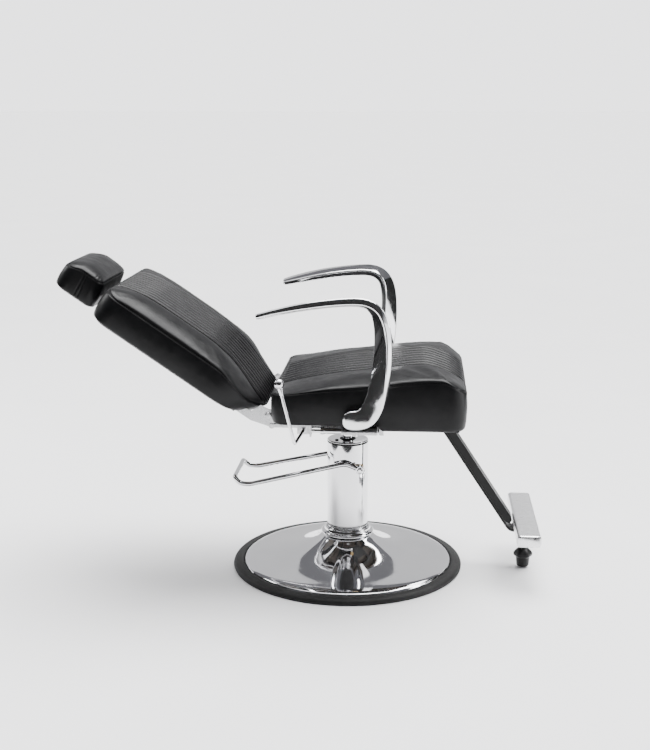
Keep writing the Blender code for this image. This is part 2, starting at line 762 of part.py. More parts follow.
def build_hinge():
    hinge = (HINGE_X, HINGE_Z)
    nose = arc(hinge, 0.014, 60, 270, 12)
    ear = nose + [(-0.170, 0.4150), (-0.122, 0.4150), (-0.118, 0.4335), (-0.060, 0.4335)]
    ear += [(-0.060, 0.4500), (-0.128, 0.4500), (-0.132, 0.4325), (-0.167, 0.4325)]
    local = [(x - HINGE_X, z - HINGE_Z) for x, z in ear]
    for side, sign in SIDES:
        side_plate(
            f"hinge_ear_{side}", local, [((0, 0), PIN_RADIUS + GAP)], EAR_INNER_Y, EAR_THICK, sign,
            "steel", "swivel", (HINGE_X, 0, HINGE_Z),
        )
        turned(
            f"hinge_pin_{side}",
            [(0, 0.1925), (0.0070, 0.1925), (0.0085, 0.1910), (0.0085, 0.1869), (PIN_RADIUS, 0.1869)]
            + [(PIN_RADIUS, 0.1750), (0.0085, 0.1750), (0.0085, 0.1690), (0, 0.1690)],
            "steel", "swivel", (HINGE_X, 0, HINGE_Z), (math.pi / 2 * -sign, 0, 0), steps=16,
        )


def build_back_arms():
    """Plates from the recline axis up behind the backrest's board; the near one has the lock's lug."""
    reach_x, reach_z = lock_offset()
    lug_x = reach_x * math.cos(RECLINE) - reach_z * math.sin(RECLINE)
    lug_z = reach_x * math.sin(RECLINE) + reach_z * math.cos(RECLINE)
    strip = [(-0.160, -0.0355), (-0.160, -0.0270), (-0.070, -0.0270), (-0.060, -0.0180)]
    strip += [(-0.040, -0.0150), (-0.030, 0.0100)]
    plain_nose = arc((0, 0), 0.014, 90, -90, 12)
    lug_nose = arc((0, 0), 0.014, 90, 30, 4) + arc((lug_x, lug_z), 0.0085, 40, -130, 8)
    for side, sign in SIDES:
        nose = lug_nose if side == "near" else plain_nose
        outline = nose + [(-0.030, -0.0355)] + strip
        holes = [((0, 0), PIN_RADIUS + GAP)]
        if side == "near":
            holes.append(((lug_x, lug_z), 0.0045))
        side_plate(
            f"back_arm_{side}", outline[::-1], holes, ARM_INNER_Y, ARM_THICK, sign, "steel", "recline"
        )


def build_lock():
    reach_x, _ = lock_offset()
    eye_x = HINGE_X + reach_x
    link_low = (eye_x - 0.005, LINK_Y - 0.002, LINK_Z - 0.004)
    link_high = (0.1000, LINK_Y + 0.002, LINK_Z + 0.004)
    link = box("lock_link", link_low, link_high, "steel", "lock_slide")
    pin_z = HINGE_Z + lock_offset()[1] - 0.0006
    pin = round_cutter("lock_pin", 0.0028, (eye_x, LINK_Y, pin_z), (eye_x, -0.1822, pin_z), sides=16)
    boolean(link, pin, "UNION")
    yoke = box_cutter("lock_yoke", (0.0885, -0.2115, 0.4055), (0.0985, LINK_Y + 0.001, 0.4225))
    boolean(link, yoke, "UNION")
    along = (0, math.pi / 2, 0)
    turned(
        "lock_tube",
        [(0, 0.0882), (0.0070, 0.0882), (0.0070, -0.0450), (0.0085, -0.0452), (0.0085, -0.0550)]
        + [(0.0043, -0.0550), (0.0043, 0.0750), (0, 0.0750)],
        "chrome", "lock_slide", (0, TUBE_Y, TUBE_Z), along, steps=16,
    )
    turned(
        "lock_rod",
        [(0, 0.0450), (0.0040, 0.0450), (0.0040, -0.0803), (0.0075, -0.0803), (0.0075, -0.0885)]
        + [(0.0040, -0.0885), (0.0040, -0.0990), (0, -0.0990)],
        "chrome", "swivel", (0, TUBE_Y, TUBE_Z), along, steps=16,
    )
    bracket = box(
        "lock_bracket", (-0.080, -0.2220, 0.4020), (-0.076, -0.1925, 0.4325), "steel", "swivel"
    )
    flange = box_cutter("bracket_flange", (-0.110, -0.2220, 0.4285), (-0.0765, -0.1560, 0.4325))
    cheek = box_cutter("bracket_cheek", (-0.110, -0.2220, 0.4080), (-0.0765, -0.2180, 0.4325))
    boolean(bracket, flange, "UNION")
    boolean(bracket, cheek, "UNION")
    rod_hole = round_cutter("rod_hole", 0.0043, (-0.09, TUBE_Y, TUBE_Z), (-0.07, TUBE_Y, TUBE_Z))
    boolean(bracket, rod_hole)
    release_hole = round_cutter(
        "release_hole", 0.0043, (RELEASE_X, -0.230, RELEASE_Z), (RELEASE_X, -0.210, RELEASE_Z)
    )
    boolean(bracket, release_hole)


def build_release():
    middle = (RELEASE_X, -0.220, RELEASE_Z)
    path = [
        (RELEASE_X, -0.2135, RELEASE_Z),
        (RELEASE_X, -0.2400, RELEASE_Z),
        (-0.1100, -0.2860, 0.3995),
        (-0.1385, -0.2900, 0.5180),
    ]
    rod("release_lever", rounded_path(path, 0.009, steps=4), 0.0039, "chrome", "release", middle)
    end, low = Vector(path[-1]), Vector(path[-2])
    up = (end - low).normalized()
    profile = arc((0, 0.0300), 0.0120, 90, -54, 9)
    profile = [(max(radius, 0.0), height) for radius, height in profile]
    turned(
        "release_knob", profile + [(0.0046, 0.0005), (0, 0.0005)], "chrome", "release", end,
        Vector((0, 0, 1)).rotation_difference(up).to_euler(), steps=14,
    )


# ---------------------------------------------------------------- backrest and headrest


def build_backrest():
    outline = rounded_rectangle(-BACK_HIGH, -BACK_LOW, BACK_HALF_WIDTH, 0.070, 0.085)
    pad = cushion(
        "back_cushion", outline, BACK_REAR, back_seam, BACK_CROWN, BACK_FULLNESS, "recline"
    )
    recess = box_cutter(
        "back_recess", (-0.460, -0.2005, -0.08), (-0.072, 0.2005, BOARD_FRONT + GAP), "recline"
    )
    boolean(pad, recess)
    for side, sign in SIDES:
        ys = sorted((sign * 0.1795, sign * 0.1890))
        slot = box_cutter(f"arm_slot_{side}", (-0.080, ys[0], -0.08), (0.02, ys[1], -0.012), "recline")
        boolean(pad, slot)
        nose = box_cutter(f"nose_slot_{side}", (-0.042, ys[0], -0.02), (0.02, ys[1], 0.0146), "recline")
        boolean(pad, nose)
    boolean(pad, box_cutter("bar_slot", (-0.52, -0.0225, -0.08), (-0.45, 0.0225, -0.0265), "recline"))
    box(
        "back_board", (-0.457, -0.200, BOARD_REAR), (-0.073, 0.200, BOARD_FRONT),
        "plywood", "recline", 0.001,
    )
    socket = box(
        "headrest_socket", (-0.455, -0.0260, -0.0366), (-0.350, 0.0260, BOARD_REAR - GAP), "black_steel",
        "recline",
    )
    bore = box_cutter("socket_bore", (-0.50, -0.0206, -0.0343), (-0.30, 0.0206, -0.0289), "recline")
    boolean(socket, bore)


def build_headrest():
    box("headrest_bar", (-0.596, -0.0200, -0.0340), (-0.356, 0.0200, -0.0292), "steel", "headrest")
    outline = rounded_rectangle(-HEAD_HIGH, -HEAD_LOW, HEAD_HALF_WIDTH, 0.030, 0.022)
    pad = cushion(
        "headrest_cushion", outline, HEAD_REAR, head_seam, HEAD_CROWN, HEAD_FULLNESS, "headrest"
    )
    slot = box_cutter("head_slot", (-0.598, -0.0206, -0.0346), (-0.49, 0.0206, -0.0286), "recline")
    boolean(pad, slot)


clear_scene()
parts = collection("hydraulic_barber_chair")
cutters = collection("cutters")
anchor("chair")
anchor("base", parent="chair")
anchor("lift", parent="base")
anchor("swivel", (0, 0, 0.362), parent="lift")
anchor("pump_lever", (LEVER_X, 0, LEVER_Z), parent="base")
anchor("plunger", (LEVER_X + CRANK_REACH, 0, 0.2776), parent="base")
anchor("leveller", (STUD_X, 0, 0.06), parent="swivel")
anchor("lock_slide", (0, TUBE_Y, TUBE_Z), parent="swivel")
anchor("release", (RELEASE_X, -0.22, RELEASE_Z), parent="swivel")
anchor("recline", (HINGE_X, 0, HINGE_Z), parent="swivel", turn=RECLINE)
anchor("headrest", parent="recline")

build_base()
build_column()
build_ram()
build_pump()
build_seat_frame()
build_seat_cushion()
build_armrests()
build_footrest()
build_hinge()
build_back_arms()
build_lock()
build_release()
build_backrest()
build_headrest()
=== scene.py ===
import json
import math

import bmesh
import bpy
import numpy as np
from mathutils import Matrix, Vector
from mathutils.bvhtree import BVHTree
from mathutils.kdtree import KDTree
from mathutils.noise import noise as perlin


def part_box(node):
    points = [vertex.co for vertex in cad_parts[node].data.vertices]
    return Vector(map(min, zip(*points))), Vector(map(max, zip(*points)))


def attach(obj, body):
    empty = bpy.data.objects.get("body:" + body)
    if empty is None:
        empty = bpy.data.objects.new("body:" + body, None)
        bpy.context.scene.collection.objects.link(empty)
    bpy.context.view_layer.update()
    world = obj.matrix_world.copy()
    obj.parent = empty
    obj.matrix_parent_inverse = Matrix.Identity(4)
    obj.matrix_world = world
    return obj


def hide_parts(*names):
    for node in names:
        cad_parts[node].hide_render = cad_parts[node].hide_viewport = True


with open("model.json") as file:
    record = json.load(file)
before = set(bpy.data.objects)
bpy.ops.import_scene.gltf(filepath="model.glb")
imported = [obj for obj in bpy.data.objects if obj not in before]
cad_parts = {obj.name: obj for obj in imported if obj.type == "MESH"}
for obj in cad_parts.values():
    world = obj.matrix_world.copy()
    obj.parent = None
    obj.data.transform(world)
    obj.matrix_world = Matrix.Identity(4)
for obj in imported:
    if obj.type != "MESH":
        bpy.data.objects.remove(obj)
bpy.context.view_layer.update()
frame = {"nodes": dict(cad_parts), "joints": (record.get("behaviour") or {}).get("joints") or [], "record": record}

NODES = frame["nodes"]
RECORD = frame["record"]
SLOT_OF = {part["node"]: part["material_slot"] for part in RECORD["subparts"]}
BODY_OF = {node: body for body, group in RECORD["behaviour"]["bodies"].items() for node in group}
JOINTS = {joint["name"]: joint for joint in frame["joints"]}
SIDES = (("near", -1), ("far", 1))

# the backrest's frame: local -X runs up the back, local +Z faces the sitter
HINGE = Vector(JOINTS["recline"]["pos_m"])
UP_BACK = Vector(JOINTS["headrest_height"]["axis"])
BACK = Matrix.Translation(HINGE) @ Matrix.Rotation(math.atan2(UP_BACK.z, -UP_BACK.x), 4, "Y")


# ---------------------------------------------------------------- materials


def new_material(name):
    made = bpy.data.materials.new(name)
    made.use_nodes = True
    return made, made.node_tree, made.node_tree.nodes["Principled BSDF"]


def coordinates(tree, scale=(1, 1, 1)):
    where = tree.nodes.new("ShaderNodeTexCoord")
    mapping = tree.nodes.new("ShaderNodeMapping")
    mapping.inputs["Scale"].default_value = scale
    tree.links.new(where.outputs["Object"], mapping.inputs["Vector"])
    return mapping.outputs["Vector"]


def noise(tree, vector, scale, detail=4.0):
    made = tree.nodes.new("ShaderNodeTexNoise")
    made.inputs["Scale"].default_value = scale
    made.inputs["Detail"].default_value = detail
    tree.links.new(vector, made.inputs["Vector"])
    return made.outputs["Fac"]


def cells(tree, vector, scale):
    made = tree.nodes.new("ShaderNodeTexVoronoi")
    made.feature = "DISTANCE_TO_EDGE"
    made.inputs["Scale"].default_value = scale
    tree.links.new(vector, made.inputs["Vector"])
    return made.outputs["Distance"]


def ranged(tree, value, low, high, source=(0.35, 0.65)):
    made = tree.nodes.new("ShaderNodeMapRange")
    made.inputs["From Min"].default_value = source[0]
    made.inputs["From Max"].default_value = source[1]
    made.inputs["To Min"].default_value = low
    made.inputs["To Max"].default_value = high
    tree.links.new(value, made.inputs["Value"])
    return made.outputs["Result"]


def ramp(tree, value, low, high, source=(0.35, 0.65)):
    made = tree.nodes.new("ShaderNodeValToRGB")
    made.color_ramp.elements[0].position = source[0]
    made.color_ramp.elements[1].position = source[1]
    made.color_ramp.elements[0].color = (*low, 1)
    made.color_ramp.elements[1].color = (*high, 1)
    tree.links.new(value, made.inputs["Fac"])
    return made.outputs["Color"]


def bump(tree, shader, height, strength, distance, after=None):
    made = tree.nodes.new("ShaderNodeBump")
    made.inputs["Strength"].default_value = strength
    made.inputs["Distance"].default_value = distance
    tree.links.new(height, made.inputs["Height"])
    if after:
        tree.links.new(after, made.inputs["Normal"])
    tree.links.new(made.outputs["Normal"], shader.inputs["Normal"])
    return made.outputs["Normal"]


def surface(name, colours, roughness, metallic, grain, stretch=(1, 1, 1), relief=(0.1, 0.0003)):
    """A finish whose colour and roughness wander with one noise, and whose relief follows a finer one."""
    made, tree, shader = new_material(name)
    shader.inputs["Metallic"].default_value = metallic
    place = coordinates(tree, stretch)
    broad = noise(tree, place, grain * 0.08)
    fine = noise(tree, place, grain)
    tree.links.new(ramp(tree, broad, *colours), shader.inputs["Base Color"])
    tree.links.new(ranged(tree, fine, *roughness), shader.inputs["Roughness"])
    bump(tree, shader, fine, *relief)
    return made


def vinyl(name):
    """Black upholstery vinyl: pebbled grain, soft creases and a slightly worn gloss."""
    made, tree, shader = new_material(name)
    shader.inputs["Specular IOR Level"].default_value = 0.17
    place = coordinates(tree)
    worn = noise(tree, place, 11.0)
    colour = ramp(tree, worn, (0.003, 0.003, 0.0034), (0.006, 0.006, 0.0065))
    tree.links.new(colour, shader.inputs["Base Color"])
    tree.links.new(ranged(tree, noise(tree, place, 36.0), 0.30, 0.40), shader.inputs["Roughness"])
    pebble = bump(tree, shader, cells(tree, place, 620.0), 0.10, 0.0004)
    bump(tree, shader, noise(tree, place, 70.0, 6.0), 0.10, 0.0012, after=pebble)
    return made


def brushed(name, colour, roughness, stretch):
    low = tuple(channel * 0.9 for channel in colour)
    return surface(name, (low, colour), roughness, 1.0, 160.0, stretch, (0.06, 0.0002))


def dark(name, level, roughness, grain, relief):
    low = (level * 0.7,) * 3
    made = surface(name, (low, (level,) * 3), roughness, 0.0, grain, relief=relief)
    made.node_tree.nodes["Principled BSDF"].inputs["Specular IOR Level"].default_value = 0.22
    return made


MATERIALS = {
    "chrome": surface(
        "chrome", ((0.74, 0.74, 0.755), (0.80, 0.80, 0.81)), (0.035, 0.075), 1.0, 60.0,
        relief=(0.012, 0.0002),
    ),
    "polished_aluminium": surface(
        "polished_aluminium", ((0.76, 0.76, 0.77), (0.82, 0.82, 0.83)), (0.06, 0.12), 1.0, 90.0,
        relief=(0.02, 0.0002),
    ),
    "bronze": brushed("bronze", (0.55, 0.38, 0.18), (0.3, 0.45), (1, 1, 6)),
    "cast_iron": dark("cast_iron", 0.05, (0.6, 0.8), 260.0, (0.5, 0.0006)),
    "black_rubber": dark("black_rubber", 0.012, (0.5, 0.66), 420.0, (0.3, 0.0004)),
    "black_steel": dark("black_steel", 0.010, (0.28, 0.44), 300.0, (0.18, 0.0003)),
    "black_plastic": dark("black_plastic", 0.009, (0.32, 0.46), 500.0, (0.2, 0.0003)),
    "plywood": surface(
        "plywood", ((0.018, 0.014, 0.011), (0.045, 0.034, 0.025)), (0.55, 0.75), 0.0, 70.0,
        (1, 9, 1), (0.3, 0.0005),
    ),
    "black_vinyl": vinyl("black_vinyl"),
    "zinc_steel": brushed("zinc_steel", (0.66, 0.66, 0.67), (0.22, 0.36), (8, 1, 1)),
}
SATIN_ALUMINIUM = brushed("satin_aluminium", (0.86, 0.86, 0.87), (0.24, 0.34), (1, 12, 1))
THREAD = dark("thread", 0.03, (0.5, 0.7), 900.0, (0.4, 0.0003))


# ---------------------------------------------------------------- helpers


def finish_piece(thing, node, material=None, sharp=40, replaced=None):
    """Gives a new piece the material of its node's slot (or the one given) and its body, and hides the CAD nodes
    it stands for.
    """
    slot = SLOT_OF[node]
    thing.data.materials.clear()
    thing.data.materials.append(material or MATERIALS[slot])
    if thing.type == "MESH":
        thing.data.shade_smooth()
        thing.data.set_sharp_from_angle(angle=math.radians(sharp))
    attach(thing, BODY_OF[node])
    stood_for = [node] if replaced is None else replaced
    if stood_for:
        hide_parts(*stood_for)
    return thing


def link(name, shape, matrix=None):
    mesh = bpy.data.meshes.new(name)
    bmesh.ops.recalc_face_normals(shape, faces=shape.faces)
    if matrix is not None:
        bmesh.ops.transform(shape, matrix=matrix, verts=shape.verts)
    shape.to_mesh(mesh)
    shape.free()
    thing = bpy.data.objects.new(name, mesh)
    bpy.context.scene.collection.objects.link(thing)
    return thing


def axes(centre, axis, side):
    """The matrix whose Z is the axis and whose X is the side."""
    axis, side = Vector(axis).normalized(), Vector(side).normalized()
    turn = Matrix((side, axis.cross(side), axis)).transposed().to_4x4()
    return Matrix.Translation(centre) @ turn


def smooth_step(value):
    value = min(max(value, 0.0), 1.0)
    return value * value * (3 - 2 * value)


def spline(points, steps):
    """Catmull-Rom through points of any dimension."""
    points = [np.array(point, float) for point in points]
    path = []
    for i in range(len(points) - 1):
        before, start = points[max(i - 1, 0)], points[i]
        end, after = points[i + 1], points[min(i + 2, len(points) - 1)]
        for k in range(steps):
            t = k / steps
            path.append(
                0.5 * (
                    2 * start + (end - before) * t
                    + (2 * before - 5 * start + 4 * end - after) * t**2
                    + (3 * start - before - 3 * end + after) * t**3
                )
            )
    path.append(points[-1])
    return path


def turn_at(before, corner, after):
    first, second = corner - before, after - corner
    if first.length < 1e-9 or second.length < 1e-9:
        return 0.0
    return first.angle(second)


def refined(points, closed, radius, gentle=math.radians(35)):
    """A profile with its sharp corners rounded and its gentle bends made smooth."""
    points = [Vector(point) for point in points]
    count = len(points)
    marked = []
    for i, corner in enumerate(points):
        if not closed and i in (0, count - 1):
            marked.append((corner, False))
            continue
        before, after = points[i - 1], points[(i + 1) % count]
        if turn_at(before, corner, after) < gentle:
            marked.append((corner, True))
            continue
        reach_back = min(radius, (before - corner).length * 0.4)
        reach_on = min(radius, (after - corner).length * 0.4)
        start = corner + (before - corner).normalized() * reach_back
        end = corner + (after - corner).normalized() * reach_on
        for k in range(5):
            t = k / 4
            marked.append((start * (1 - t) ** 2 + corner * 2 * t * (1 - t) + end * t * t, False))
    total = len(marked)
    path = []
    for i in range(total if closed else total - 1):
        (here, soft), (following, soft_next) = marked[i], marked[(i + 1) % total]
        path.append(here)
        if not (soft or soft_next):
            continue
        before = marked[i - 1][0] if closed or i else here
        after = marked[(i + 2) % total][0] if closed or i + 2 < total else following
        for point in spline([before, here, following, after], 6)[7:12]:
            path.append(Vector(point))
    if not closed:
        path.append(marked[-1][0])
    return path


def revolved(profile, closed, steps, swell=None):
    """A turned form; swell gives a factor on the radius for a height, radius and angle."""
    shape = bmesh.new()
    rows = []
    for radius, height in profile:
        if radius < 1e-6:
            rows.append([shape.verts.new((0, 0, height))])
            continue
        row = []
        for k in range(steps):
            angle = 2 * math.pi * k / steps
            reach = radius * (swell(radius, height, angle) if swell else 1.0)
            row.append(shape.verts.new((reach * math.cos(angle), reach * math.sin(angle), height)))
        rows.append(row)
    pairs = list(zip(rows, rows[1:] + rows[:1]))
    for low, high in pairs if closed else pairs[:-1]:
        for k in range(steps):
            j = (k + 1) % steps
            if len(low) == 1 and len(high) == 1:
                break
            if len(low) == 1:
                shape.faces.new((low[0], high[k], high[j]))
            elif len(high) == 1:
                shape.faces.new((low[k], low[j], high[0]))
            else:
                shape.faces.new((low[k], low[j], high[j], high[k]))
    return shape


def cad_profile(node, to_local):
    """The (radius, height) outline of a turned CAD node, walked along its own edges."""
    mesh = NODES[node].data
    seat = {}
    for vertex in mesh.vertices:
        spot = to_local @ vertex.co
        if abs(spot.y) < 5e-6 and spot.x > -1e-6:
            seat[vertex.index] = (round(spot.x, 6), round(spot.z, 6))
    beside = {point: set() for point in seat.values()}
    for edge in mesh.edges:
        first, second = (seat.get(index) for index in edge.vertices)
        if first and second and first != second:
            beside[first].add(second)
            beside[second].add(first)
    ends = sorted(point for point, others in beside.items() if len(others) == 1)
    closed = not ends
    here = ends[0] if ends else min(beside)
    chain, seen = [here], {here}
    while True:
        following = sorted(point for point in beside[here] if point not in seen)
        if not following:
            break
        here = following[0]
        chain.append(here)
        seen.add(here)
    if not closed:
        chain = [(0.0, chain[0][1])] * (chain[0][0] > 1e-6) + chain
        chain += [(0.0, chain[-1][1])] * (chain[-1][0] > 1e-6)
    return chain, closed


def fine_turned(node, radius=0.0008, steps=96, axis=(0, 0, 1), side=(1, 0, 0), swell=None):
    """A finely turned piece in the place of a CAD node, from that node's own outline."""
    low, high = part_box(node)
    matrix = axes((low + high) / 2, axis, side)
    outline, closed = cad_profile(node, matrix.inverted())
    shape = revolved(refined(outline, closed, radius), closed, steps, swell)
    return finish_piece(link(f"fine_{node}", shape, matrix), node)


def rounded_path(points, radius, steps=8):
    points = [Vector(point) for point in points]
    path = [points[0]]
    for before, corner, after in zip(points, points[1:], points[2:]):
        reach = min(radius, (before - corner).length * 0.45, (after - corner).length * 0.45)
        start = corner + (before - corner).normalized() * reach
        end = corner + (after - corner).normalized() * reach
        for k in range(steps + 1):
            t = k / steps
            path.append(start * (1 - t) ** 2 + corner * 2 * t * (1 - t) + end * t * t)
    path.append(points[-1])
    return path


def lofted(rings, closed=False):
    """A closed form through rings of equal count, capped unless its ends meet."""
    shape = bmesh.new()
    rows = [[shape.verts.new(point) for point in row] for row in rings]
    count = len(rows[0])
    pairs = list(zip(rows, rows[1:] + rows[:1]))
    for low, high in pairs if closed else pairs[:-1]:
        for i in range(count):
            j = (i + 1) % count
            shape.faces.new((low[i], low[j], high[j], high[i]))
    if not closed:
        shape.faces.new(list(reversed(rows[0])))
        shape.faces.new(rows[-1])
    return shape


def swept(path, section, closed=False, across=Vector((0, 1, 0))):
    """Rings of a section, given as (across, out) offsets, carried along a path."""
    rings = []
    count = len(path)
    for i, centre in enumerate(path):
        before = path[i - 1] if i or closed else path[0]
        after = path[(i + 1) % count] if i + 1 < count or closed else path[-1]
        tangent = (after - before).normalized()
        wide = (across - tangent * across.dot(tangent)).normalized()
        out = tangent.cross(wide)
        rings.append([centre + wide * x + out * y for x, y in section])
    return rings


def tube(path, radius, closed=False, sides=20, across=Vector((0, 1, 0))):
    round_section = [
        (radius * math.cos(2 * math.pi * k / sides), radius * math.sin(2 * math.pi * k / sides))
        for k in range(sides)
    ]
    return lofted(swept(path, round_section, closed, across), closed)


def rounded_box_section(width, thick, radius, steps=5):
    points = []
    for quarter, (sx, sy) in enumerate(((1, 1), (-1, 1), (-1, -1), (1, -1))):
        for k in range(steps + 1):
            angle = math.pi / 2 * (quarter + k / steps)
            x = sx * (width / 2 - radius) + radius * math.cos(angle)
            y = sy * (thick / 2 - radius) + radius * math.sin(angle)
            points.append((x, y))
    return points


# ---------------------------------------------------------------- cushions


GROOVE = 0.0031        # half-width of a sewn channel
RIB_RISE = 0.0026      # how far the filling stands up between two channels
STITCH_LINE = 0.0013   # half-width of a seam across a cushion
JOIN_DEPTH = 0.0016    # how deep a seam down the side panel sinks
LEAN_REACH = 0.09      # length at a cushion's high end over which its side leans
PUCKER = 0.0003        # height of the small creases near a seam
CLOTH_FRAMES = 20


def groove_lines(centres, half_width, radius, spread=GROOVE, margin_steps=9):
    """Where a cushion's lines run across its width: close together at each groove and round edge."""
    lines = set()
    for k in range(margin_steps + 1):
        edge = half_width - radius + radius * math.sin(math.pi / 2 * k / margin_steps)
        lines.update((edge, -edge))
    outer = max(centres) if centres else 0.0
    span = half_width - radius - outer
    for k in range(1, 8):
        spot = outer + 3.2 * spread + (span - 3.2 * spread) * k / 8
        lines.update((spot, -spot))
    for centre in centres:
        for k in (-1.9, -1.2, -0.6, 0.0, 0.6, 1.2, 1.9):
            lines.add(centre + k * spread)
    for first, second in zip(centres, centres[1:]):
        for t in (0.26, 0.38, 0.5, 0.62, 0.74):
            lines.add(first + (second - first) * t)
    if not centres:
        for k in range(-6, 7):
            lines.add(k * (half_width - radius) / 7)
    return sorted(lines)


def rib(grooves, y):
    """How far the filling stands up at y: a soft rise between neighbouring grooves."""
    if not grooves or not grooves[0] <= y <= grooves[-1]:
        return 0.0
    pitch = grooves[1] - grooves[0]
    return math.sin(math.pi * (y - grooves[0]) / pitch) ** 2


def end_lines(count, extra=()):
    """Shares of a cushion's length, closer together at both ends, with extra ones where asked."""
    lines = []
    for k in range(count + 1):
        t = 2 * k / count - 1
        lines.append(0.5 + 0.5 * (0.45 * t + 0.55 * math.sin(math.pi / 2 * t)))
    return sorted(set(lines) | set(extra))


def build_cushion(spec):
    """The closed mesh of a cushion, and for each point how deep its sewing pulls it in.

    The top is a grid of lines that follow the grooves. The side panel goes down from the seam, and
    the underside has a rim round the board's recess.
    """
    low, high, half = spec["low"], spec["high"], spec["half"]
    grooves, depth, spread = spec["grooves"], spec["depth"], GROOVE
    widths = groove_lines(grooves, half, min(spec["radius"]))
    joins = spec.get("joins", ())
    span = high - low
    extra = [
        (spot + offset * STITCH_LINE - low) / span for spot in joins for offset in (-2, -1, 0, 1, 2)
    ]
    lengths = end_lines(spec["count"], extra)
    points, pull = [], []
    index = {}

    def extent(y):
        cuts = []
        for radius in spec["radius"]:
            over = min(max(abs(y) - (half - radius), 0.0), radius)
            cuts.append(radius - math.sqrt(radius**2 - over**2))
        return low + cuts[0], high - cuts[1]

    def add(point, inset):
        points.append(point)
        pull.append(inset)
        return len(points) - 1

    for j, y in enumerate(widths):
        start, end = extent(y)
        for i, share in enumerate(lengths):
            x = start + (end - start) * share
            rise = spec["crown"] * spec["along"](2 * share - 1) * spec["across"](abs(y) / half)
            ends = smooth_step((1 - abs(2 * share - 1)) / 0.06)
            inset = sum(depth * math.exp(-(((y - groove) / spread) ** 2)) for groove in grooves)
            inset = inset * ends - RIB_RISE * ends * rib(grooves, y)
            inset += sum(
                spec["cross_depth"] * math.exp(-(((x - spot) / STITCH_LINE) ** 2))
                for spot in spec.get("cross", ())
            )
            index[i, j] = add((x, y, spec["seam"](x) + rise), inset)
    last_i, last_j = len(lengths) - 1, len(widths) - 1
    loop = [(i, 0) for i in range(last_i)] + [(last_i, j) for j in range(last_j)]
    loop += [(i, last_j) for i in range(last_i, 0, -1)] + [(0, j) for j in range(last_j, 0, -1)]
    ring = [index[key] for key in loop]
    faces = [
        (index[i, j], index[i + 1, j], index[i + 1, j + 1], index[i, j + 1])
        for j in range(last_j) for i in range(last_i)
    ]
    count = len(ring)
    edge = [Vector(points[spot]) for spot in ring]
    outward = []
    for k in range(count):
        along = edge[(k + 1) % count] - edge[k - 1]
        outward.append(Vector((along.y, -along.x, 0)).normalized())

    def row(shares, inset_of):
        """One more loop of points: (height share, outward move) for each point of the edge."""
        nonlocal ring
        fresh = []
        for k in range(count):
            share, out = shares(k)
            base = edge[k] + outward[k] * out
            bottom = spec["bottom"](edge[k].x)
            lean = (1 - share) * smooth_step((edge[k].x - high + LEAN_REACH) / LEAN_REACH)
            base.x -= spec.get("lean", 0.0) * lean
            fresh.append(add((base.x, base.y, bottom + (edge[k].z - bottom) * share), inset_of(k)))
        for k in range(count):
            j = (k + 1) % count
            faces.append((ring[k], fresh[k], fresh[j], ring[j]))
        ring = fresh
        return fresh

    def join_pull(k):
        return sum(
            JOIN_DEPTH * math.exp(-(((edge[k].x - spot) / STITCH_LINE) ** 2)) for spot in joins
        )

    for spot in ring:
        pull[spot] = spec["seam_pull"]
    steps = 14
    for step in range(1, steps + 1):
        t = step / steps
        down = 1 - 0.90 * (t if step > 2 else t * 0.45)
        out = spec["puff"] * math.sin(math.pi * min(t * 1.02, 1.0)) ** 0.7
        row(lambda k, d=down, o=out: (d, o), join_pull)
    for t in (0.35, 0.7, 1.0):
        turned_in = spec["under"] * (1 - math.cos(math.pi / 2 * t))
        lowered = 0.10 * (1 - math.sin(math.pi / 2 * t))
        hem = row(lambda k, d=lowered, o=-turned_in: (d, o), lambda k: 0.0)
    rim_low, rim_high = spec["recess"][:2]
    deep = spec["recess"][3]
    wide = spec["recess"][2]
    floor_ring, roof_ring = [], []
    for k in range(count):
        x = min(max(edge[k].x, rim_low), rim_high)
        y = min(max(edge[k].y, -wide), wide)
        floor_ring.append(add((x, y, spec["bottom"](edge[k].x)), 0.0))
        roof_ring.append(add((x, y, deep), 0.0))
    for first, second in ((ring, floor_ring), (floor_ring, roof_ring)):
        for k in range(count):
            j = (k + 1) % count
            faces.append((first[k], second[k], second[j], first[j]))
    faces.append(tuple(roof_ring))
    return points, faces, pull, {"seam": [index[key] for key in loop], "hem": hem}


def voxel_copy(points, faces, voxel):
    mesh = bpy.data.meshes.new("sim")
    mesh.from_pydata(points, [], faces)
    thing = bpy.data.objects.new("sim", mesh)
    bpy.context.scene.collection.objects.link(thing)
    step = thing.modifiers.new("Remesh", "REMESH")
    step.mode = "VOXEL"
    step.voxel_size = voxel
    graph = bpy.context.evaluated_depsgraph_get()
    remeshed = bpy.data.meshes.new_from_object(thing.evaluated_get(graph))
    thing.modifiers.clear()
    thing.data = remeshed
    return thing


def coordinates_of(mesh):
    flat = np.zeros(len(mesh.vertices) * 3, np.float32)
    mesh.vertices.foreach_get("co", flat)
    return flat.reshape(-1, 3).astype(float)


